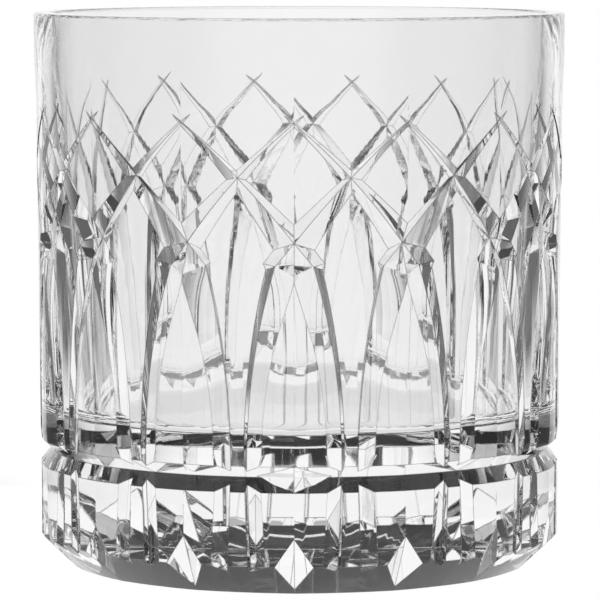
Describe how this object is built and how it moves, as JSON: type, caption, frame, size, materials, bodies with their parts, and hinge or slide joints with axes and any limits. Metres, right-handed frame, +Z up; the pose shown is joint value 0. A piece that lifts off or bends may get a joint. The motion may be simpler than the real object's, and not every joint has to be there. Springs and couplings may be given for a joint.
{
  "type": "whiskey tumbler",
  "caption": "Clear cut-crystal whiskey tumbler with a lattice and arch cut wall, a waist groove and a thick fluted solid foot.",
  "frame": {"origin": "centre of the flat resting face under the foot", "axes": "+Z up along the tumbler's axis of symmetry, -Y through the middle of one arch of the cut pattern"},
  "size_m": [0.086, 0.086, 0.0892],
  "materials": {
    "crystal": "clear, colourless, polished, with softly fire-polished cut edges"
  },
  "bodies": {
    "root": {"bowl": "crystal", "foot": "crystal"}
  },
  "joints": []
}
